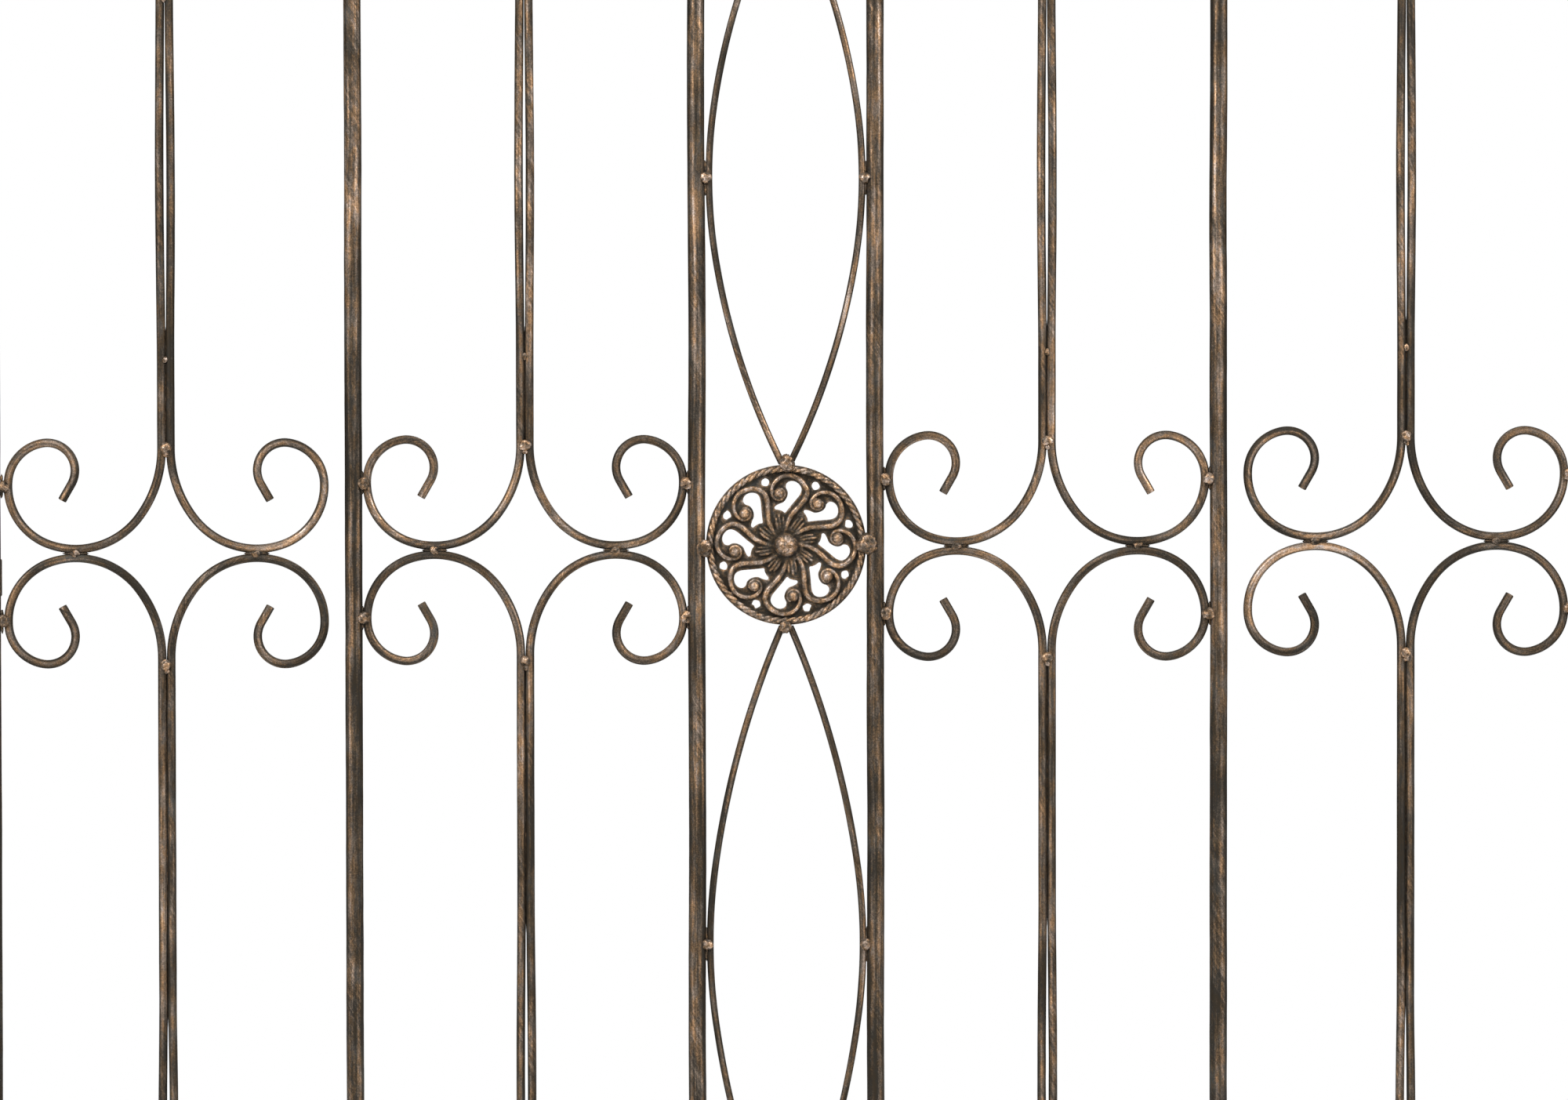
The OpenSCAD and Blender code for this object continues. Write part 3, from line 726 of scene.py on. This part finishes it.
# twisted border
seg, sides = 960, 26
a = np.linspace(0, 2 * np.pi, seg, endpoint=False)[:, None]
b = np.linspace(0, 2 * np.pi, sides, endpoint=False)[None]
lobes = np.abs(np.sin((3 * b + 60 * a) / 2)) ** 0.75
rr = 1.20 + 1.12 * lobes
rad = 54.8 + rr * np.cos(b) + 0 * a
yy = -1.4 - rr * np.sin(b)
co = np.stack([rad * np.sin(a), yy, rad * np.cos(a)], -1).reshape(-1, 3)
faces = []
for i in range(seg):
    i2 = (i + 1) % seg
    for j in range(sides):
        j2 = (j + 1) % sides
        faces.append([i * sides + j, i * sides + j2, i2 * sides + j2, i2 * sides + j])
keep(co, faces)

line = curve_through(ARM, False, 6)
part = np.linspace(0, 1, len(line))
for i in range(8):
    half = np.interp(part, [0, 0.15, 0.35, 0.75, 1], [1.5, 1.95, 2.2, 1.85, 1.6])
    front = np.interp(part, [0, 0.1, 0.3, 0.8, 1], [-2.4, -3.1, -3.35, -3.1, -3.1])
    ridge(spin(line, i), half, front, -0.5)
    # the arm's end winds round the ball
    start = line[-1] - BALL
    a0, r0 = math.atan2(start[1], start[0]), float(np.linalg.norm(start))
    t = np.linspace(0, 1, 40)
    ang = a0 + t * math.radians(235)
    rad = r0 + (3.9 - r0) * t ** 0.8
    coil = BALL + np.stack([rad * np.cos(ang), rad * np.sin(ang)], -1)
    ridge(spin(coil, i), 1.5 - 0.8 * t, -3.0 - 0.2 * t, -0.6)
    c = spin(BALL[None], i)[0]
    ball(c[0], -1.4, c[1], 3.9, 4.1, 3.9)
    # collar under the ball
    ball(c[0], 0.9, c[1], 5.6, 2.0, 5.6)
    # ribbed leaf between the arms
    for off, r1, r2, w in ((-8.2, 11, 21.0, 1.4), (0, 11, 22.6, 1.5), (8.2, 11, 20.4, 1.4)):
        rads = np.linspace(r1, r2, 12)
        lean = np.linspace(-2.5, 2.5, 12)
        fan = off * np.interp(rads, [12, 18, 23], [1.25, 1.0, 0.72])
        leaf = polar(45 * i + 29.5 + lean + fan, rads)
        u = np.linspace(0, 1, 12)
        ridge(leaf, w * np.interp(u, [0, 0.5, 1], [0.8, 1, 0.75]), np.interp(u, [0, 0.5, 0.9, 1], [-2.0, -2.5, -2.4, -1.7]), 0.2, 14)

# hub: shoulder, groove and dome
ring_solid([(0.2, 2.2), (0.2, -1.7), (9.0, -1.7), (10.8, -2.0), (12.4, -1.7), (13.8, -0.6), (13.8, 2.2)], 120)
ball(0, -0.6, 0, 8.75, 8.75, 8.75)

rose = mesh_object("rosette_casting", np.concatenate(parts_co) + [0, PLANE_Y, ROSE_Z], parts_faces)
bm = bmesh.new()
bm.from_mesh(rose.data)
bmesh.ops.recalc_face_normals(bm, faces=bm.faces)
bm.to_mesh(rose.data)
bm.free()
mod = rose.modifiers.new("remesh", "REMESH")
mod.mode, mod.voxel_size, mod.use_smooth_shade = "VOXEL", 0.00042, True
mod = rose.modifiers.new("soften", "SMOOTH")
mod.factor, mod.iterations = 0.5, 2
dg = bpy.context.evaluated_depsgraph_get()
cast = bpy.data.meshes.new_from_object(rose.evaluated_get(dg))
rose.modifiers.clear()
rose.data = cast
# flat back, as the casting lies in its mould
co = np.empty(len(cast.vertices) * 3, np.float32)
cast.vertices.foreach_get("co", co)
co = co.reshape(-1, 3)
uneven = waves(7, 60, 3, 30)
front = co[:, 1] < (PLANE_Y + 1) * MM
co[front, 1] += (0.07 * MM * uneven(co[front] * 1000)).astype(np.float32)
co[:, 1] = np.minimum(co[:, 1], (PLANE_Y + 2.6) * MM)
cast.vertices.foreach_set("co", co.ravel())
cast.update()
# how far each spot stands out from its surroundings: raised parts are rubbed bright, recesses stay dark; the dome also
# gets a painted highlight
pairs = np.empty(len(cast.edges) * 2, np.int32)
cast.edges.foreach_get("vertices", pairs)
pairs = pairs.reshape(-1, 2)
deg = np.bincount(pairs.ravel(), minlength=len(co)).astype(float)
level, stood = co[:, 1].astype(float) * 1000, []
for turns in (14, 70):
    blur = level.copy()
    for _ in range(turns):
        acc = np.bincount(pairs[:, 0], blur[pairs[:, 1]], len(co)) + np.bincount(pairs[:, 1], blur[pairs[:, 0]], len(co))
        blur = 0.3 * blur + 0.7 * acc / deg
    stood.append(blur - level)
tall = np.clip((PLANE_Y - 0.4 - level) / 2.6, 0, 1)
high = np.clip((PLANE_Y - 4.5 - level) / 4.5, 0, 1)
reach = np.hypot(co[:, 0] * 1000, co[:, 2] * 1000 - ROSE_Z)
hollow = np.interp(reach, [8.0, 9.4, 12.0, 14.5], [0, 1, 0.8, 0])
turn_at = np.arctan2(co[:, 0] * 1000, co[:, 2] * 1000 - ROSE_Z)
rays = waves(31, 40, 0.25, 1.1)(np.stack([3 * np.cos(turn_at), 3 * np.sin(turn_at), 0.12 * reach], -1))
leafy = np.interp(reach, [13.5, 15, 22, 24.5], [0, 1, 1, 0]) * np.interp(level - PLANE_Y, [-2.9, -2.5], [0, 1])
floor_dark = np.interp(reach, [46.5, 49.5, 52.4, 53.4], [0, 1, 1, 0]) * np.interp(level - PLANE_Y, [-1.8, -1.0], [0, 1])
# painted highlight on the dome: radial painted reflection streaks round its middle, and extra brightness on parts more
# than 4.5 mm proud, mostly the dome's top
relief = (np.interp(reach, [0, 2.5, 8.2, 9.2], [0.10, 0.13, 0.07, 0]) * rays - 0.09 * leafy - 0.13 * floor_dark
          + np.clip(stood[0] * 0.85, -0.34, 0.16) + np.clip(stood[1] * 0.24, -0.28, 0.16)
          + 0.20 * tall + 0.20 * high - 0.22 * hollow - 0.14)
add_floats(rose, "relief", relief)
cast.polygons.foreach_set("use_smooth", np.ones(len(cast.polygons), bool))
dress(rose, ROSE_MAT, "rosette", "rosette")
print("rosette faces", len(cast.polygons))


# ---------------------------------------------------------------- weld beads
def lump(x, y, z, rx, ry, rz, seed, rough=0.16, pits=2, level=4, shade=0.0, wide=0.05, deep=0.30):
    """One weld bead: an uneven knob with small craters. y is from the plane of the bars."""
    bm = bmesh.new()
    bmesh.ops.create_icosphere(bm, subdivisions=level, radius=1.0)
    d = np.array([v.co for v in bm.verts])
    faces = [[v.index for v in f.verts] for f in bm.faces]
    bm.free()
    rng = np.random.default_rng(seed)
    dents = rough * (0.26 * waves(seed, 20, 0.9, 2.4)(d) + 0.22 * waves(seed + 900, 30, 0.25, 0.7)(d))
    for q in range(pits + 2):
        way = rng.normal(size=3) * [0.8, 0.5, 0.8] + [0, -0.9, 0]
        way /= np.linalg.norm(way)
        near = np.exp(-(1 - d @ way) / (wide if q < pits else 2 * wide))
        dents += near * (-deep if q < pits else 0.5 * deep)
    r = 1 + dents
    # crests are rubbed bright and craters stay dark; the bead's front is painted lighter as a painted highlight, and
    # its sides and foot against the rods are painted darker as painted shade
    relief = np.clip(dents * 1.6, -0.34, 0.14) + np.interp(-d[:, 1], [-1, 0.05, 0.35, 0.8], [-0.12, -0.34, -0.04, 0.07]) + shade
    return d * r[:, None] * [rx, ry, rz] + [x, PLANE_Y + y, z], faces, relief


def gap_shadow_tails(x, y, z, gap, length, seed):
    """Painted shadow in the groove between two round bars: dark lumps above and below a bead, where the groove lies in
    shade.
    """
    return [(x, y, z + s * gap, 0.95, 1.5, length, seed + 500 + s, {"rough": 0.2, "pits": 1, "level": 3, "shade": -0.36}) for s in (1, -1)]


def beads(name, items, mat, slot, node, level=4):
    co, faces, relief, n = [], [], [], 0
    for it in items:
        c, f, e = lump(*it[:6], seed=it[6], **(it[7] if len(it) > 7 else {}))
        co.append(c)
        relief.append(e)
        faces.extend([[v + n for v in q] for q in f])
        n += len(c)
    ob = mesh_object(name, np.concatenate(co), faces)
    add_floats(ob, "relief", np.concatenate(relief))
    return dress(ob, mat, slot, node)


items, seed = [], 200
for p in range(4):
    for up, z, r in ((True, BEND_Z + 0.5, 4.1), (False, BEND_Z + 5, 3.9)):
        seed += 1
        x, zz = frame_point(p, up, 0, z)
        items.append((x + (0.3 if up else -0.2), -2.8, zz, r * 1.02, 3.0, r * 0.98, seed))
        seed += 1
        items.append((x + 0.3, -2.3, zz - 4.6, 2.0, 1.6, 1.9, seed, {"pits": 1}))
    for z in (140, 400):
        seed += 1
        x, zz = frame_point(p, True, 0, z)
        items.append((x, -2.1, zz, 1.9, 1.8, 2.5, seed, {"pits": 1}))
    # painted shadow: a thin dark lump fills the hairline groove between the two rods wherever they run side by side
    for up in (True, False):
        a = stem_marks(p, up)[0] + 14
        x, zz = frame_point(p, up, 0, (BEND_Z + a) / 2)
        items.append((x, 0.1, zz, 0.48, 1.1, (a - BEND_Z) / 2, seed + 700 + up, {"rough": 0.06, "pits": 0, "shade": -0.42}))
beads("pair_beads", items, BEAD_MAT, "welds", "pair_welds")

items = []
for p in range(4):
    for side in (-1, 1):
        seed += 1
        x, zz = frame_point(p, True, CROSS_X, 0, side)
        items.append((x, -2.0, zz, 3.4, 2.1, 3.0, seed, {"rough": 0.26, "pits": 3, "wide": 0.07}))
        # painted shadow: a flat dark lump on either side of each crossing bead, in the gaps between the rods
        for s in (1, -1):
            items.append((x + s * 5.0, -0.7, zz, 4.2, 1.5, 0.95, seed + 500 + s, {"rough": 0.2, "pits": 1, "level": 3, "shade": -0.30}))
beads("crossing_beads", items, CROSS_MAT, "welds", "crossing_welds")

items = []
for up in (True, False):
    for p, side, bar in ((0, -1, -574.4), (1, -1, -312.7), (1, 1, -64.5), (2, -1, 64.5), (2, 1, 312.7), (3, 1, 574.4)):
        seed += 1
        x, zz = frame_point(p, up, SIDE_X + ROD_R, SIDE_Z, side)
        mid = (x + bar - side * BAR_R) / 2
        items.append((mid - side * 1.2, -3.6, zz - (0.6 if up else -0.3), 4.5, 3.2, 4.4, seed, {"rough": 0.16, "pits": 3}))
        items += gap_shadow_tails(mid, -1.2, zz, 5.2, 3.4, seed)
beads("scroll_to_bar_beads", items, BEAD_MAT, "welds", "scroll_to_bar_welds")

items = []
for up in (True, False):
    mid = bow_path(up)[1]
    for side in (-1, 1):
        seed += 1
        items.append((side * (BOW_HALF + BOW_R - 0.5), -3.5, mid - 0.6, 4.2, 2.9, 4.0, seed))
        items += gap_shadow_tails(side * (BOW_HALF + BOW_R + 0.2), -1.0, mid - 0.6, 6.5, 6.0, seed)
    seed += 1
    items.append((0, -1.6, HALF - 1.6 if up else -HALF + 1.6, 5.0, 3.4, 2.4, seed))
beads("bow_beads", items, BEAD_MAT, "welds", "bow_welds")

items = [
    (-(ROSE_R + 1.3), -4.3, ROSE_Z - 2.6, 5.9, 4.4, 5.8, 301, {"rough": 0.24, "pits": 9, "wide": 0.022, "deep": 0.20}),
    (ROSE_R + 0.5, -4.6, ROSE_Z + 1.0, 7.7, 5.2, 7.4, 312, {"rough": 0.20, "pits": 12, "wide": 0.016, "deep": 0.17}),
    (0.8, -3.6, ROSE_Z + ROSE_R + 1.3, 5.8, 4.3, 5.8, 323, {"rough": 0.24, "pits": 9, "wide": 0.020, "deep": 0.20}),
    (-0.8, -3.0, ROSE_Z - ROSE_R - 0.9, 4.5, 3.5, 4.6, 304, {"rough": 0.26, "pits": 7, "wide": 0.025, "deep": 0.2, "shade": -0.08}),
]
beads("rosette_beads", items, BEAD_MAT, "welds", "rosette_welds")

items = []
for p in range(4):
    for s in (1, -1):
        seed += 1
        items.append((PAIRS[p], -2.0, s * (HALF - 1.6), 4.6, 3.0, 2.6, seed))
beads("rod_end_beads", items, BEAD_DARK_MAT, "welds", "rod_end_welds")


def run(points, half, seed):
    """A rippled fillet laid along a line of points."""
    p = np.asarray(points, float)
    s = np.concatenate([[0], np.cumsum(np.linalg.norm(np.diff(p, axis=0), axis=1))])
    t = np.gradient(p, axis=0)
    t /= np.linalg.norm(t, axis=1)[:, None]
    helper = np.array([0.31, 0.77, 0.56])
    n1 = np.cross(t, helper)
    n1 /= np.linalg.norm(n1, axis=1)[:, None]
    n2 = np.cross(t, n1)
    th = np.linspace(0, 2 * np.pi, 14, endpoint=False)
    r = half * (1 + 0.14 * np.sin(s * 3.1 + seed) + 0.10 * waves(seed, 20, 2, 12)(p))
    ends = np.clip(np.minimum(s, s[-1] - s) / 1.2, 0, 1)
    closed = np.linalg.norm(p[0] - p[-1]) < 1e-6
    if not closed:
        r = r * np.sqrt(np.maximum(ends * (2 - ends), 0.02))
    rows = p[:, None] + r[:, None, None] * (np.cos(th)[None, :, None] * n1[:, None] + np.sin(th)[None, :, None] * n2[:, None])
    m = len(p)
    faces = []
    if closed:
        rows = rows[:-1]
        m -= 1
    for i in range(m if closed else m - 1):
        i2 = (i + 1) % m
        for j in range(14):
            k = (j + 1) % 14
            faces.append([i * 14 + j, i * 14 + k, i2 * 14 + k, i2 * 14 + j])
    if not closed:
        faces.append(list(range(14)))
        faces.append([(m - 1) * 14 + q for q in range(14)][::-1])
    return rows.reshape(-1, 3), faces


def runs(name, lines, half, mat, slot, node):
    co, faces, n = [], [], 0
    for q, line in enumerate(lines):
        c, f = run(line, half, 400 + q)
        co.append(c)
        faces.extend([[v + n for v in g] for g in f])
        n += len(c)
    ob = mesh_object(name, np.concatenate(co), faces)
    bm = bmesh.new()
    bm.from_mesh(ob.data)
    bmesh.ops.recalc_face_normals(bm, faces=bm.faces)
    bm.to_mesh(ob.data)
    bm.free()
    return dress(ob, mat, slot, node)


lines = []
for x in BARS.values():
    for s in (1, -1):
        a = np.linspace(0, 2 * np.pi, 61)
        lines.append(np.stack([x + 6.75 * np.cos(a), PLANE_Y + 6.75 * np.sin(a), np.full(61, s * (HALF - 0.7))], -1))
runs("bar_end_beads", lines, 1.05, BEAD_DARK_MAT, "welds", "bar_end_welds")

lines = []
for side in (1, -1):
    for z in (440, 0, -440):
        for dx in (2.7, -3.9):
            zz = np.linspace(z - 10.6, z + 10.6, 34)
            lines.append(np.stack([np.full(34, side * 574.4 + dx), np.full(34, -4.6), zz], -1))
runs("lug_beads", lines, 1.05, BEAD_DARK_MAT, "welds", "lug_welds")


# ---------------------------------------------------------------- floor, world, lights, camera
low = cad_box[0].z
bm = bmesh.new()
bmesh.ops.create_grid(bm, x_segments=8, y_segments=8, size=1.0,
                      matrix=Matrix.Translation((0, -0.2, low)) @ Matrix.Diagonal((1.7, 1.0, 1, 1)))
me = bpy.data.meshes.new("floor")
bm.to_mesh(me)
bm.free()
floor = bpy.data.objects.new("floor", me)
bpy.context.scene.collection.objects.link(floor)
mat, tree, bsdf = nodes_of("floor")
net = Net(tree)
fine = net.noise(net.place(), 9.0, 3)
net.put(bsdf.inputs["Base Color"], net.ramp(fine, [(0.3, (0.80, 0.80, 0.79)), (0.7, (0.84, 0.84, 0.83))]))
bsdf.inputs["Roughness"].default_value = 0.7
bsdf.inputs["Emission Color"].default_value = (1, 1, 1, 1)
bsdf.inputs["Emission Strength"].default_value = 0.22
me.materials.append(mat)

scene = bpy.context.scene
world = bpy.data.worlds.new("world")
scene.world = world
world.use_nodes = True
tree = world.node_tree
tree.nodes.clear()
out = tree.nodes.new("ShaderNodeOutputWorld")
pick = tree.nodes.new("ShaderNodeMixShader")
path = tree.nodes.new("ShaderNodeLightPath")
soft = tree.nodes.new("ShaderNodeBackground")
soft.inputs[0].default_value = (0.96, 0.98, 1.0, 1)
soft.inputs[1].default_value = 0.10
clean = tree.nodes.new("ShaderNodeBackground")
clean.inputs[0].default_value = (1, 1, 1, 1)
clean.inputs[1].default_value = 1.0
tree.links.new(path.outputs["Is Camera Ray"], pick.inputs[0])
tree.links.new(soft.outputs[0], pick.inputs[1])
tree.links.new(clean.outputs[0], pick.inputs[2])
tree.links.new(pick.outputs[0], out.inputs[0])


def lamp(name, at, to, size, power, colour=(1, 1, 1)):
    li = bpy.data.lights.new(name, "AREA")
    li.shape, li.size, li.size_y = "RECTANGLE", size[0], size[1]
    li.energy, li.color = power, colour
    ob = bpy.data.objects.new(name, li)
    ob.location = at
    ob.rotation_euler = (Vector(to) - Vector(at)).to_track_quat("-Z", "Y").to_euler()
    scene.collection.objects.link(ob)


lamp("key_left", (-1.9, -2.0, 1.4), (0, 0, 0.12), (0.8, 1.3), 76)
lamp("key_right", (2.1, -1.6, 1.3), (0, 0, 0.12), (0.7, 1.3), 60)
lamp("rear", (0, 2.6, 1.5), (0, 0, -0.1), (2.6, 1.0), 46)
lamp("top", (0, -1.1, 2.3), (0, 0, 0.2), (2.4, 0.5), 44)

PITCH, ROLL, REACH = math.radians(0.9), math.radians(0.086), 3.0
aim = Vector((-1.5 * MM, PLANE_Y * MM, 19.3 * MM))
cam = bpy.data.cameras.new("camera")
cam.sensor_width = 36
cam.lens = 36 * REACH / 1.134
cam.clip_start, cam.clip_end = 0.05, 60
eye = bpy.data.objects.new("camera", cam)
eye.location = aim + REACH * Vector((0, -math.cos(PITCH), math.sin(PITCH)))
turn_to = (aim - eye.location).to_track_quat("-Z", "Y").to_matrix().to_4x4()
eye.matrix_world = Matrix.Translation(eye.location) @ turn_to @ Matrix.Rotation(-ROLL, 4, "Z")
scene.collection.objects.link(eye)
scene.camera = eye
scene.view_settings.view_transform = "Standard"
scene.view_settings.look = "None"

bpy.context.view_layer.update()
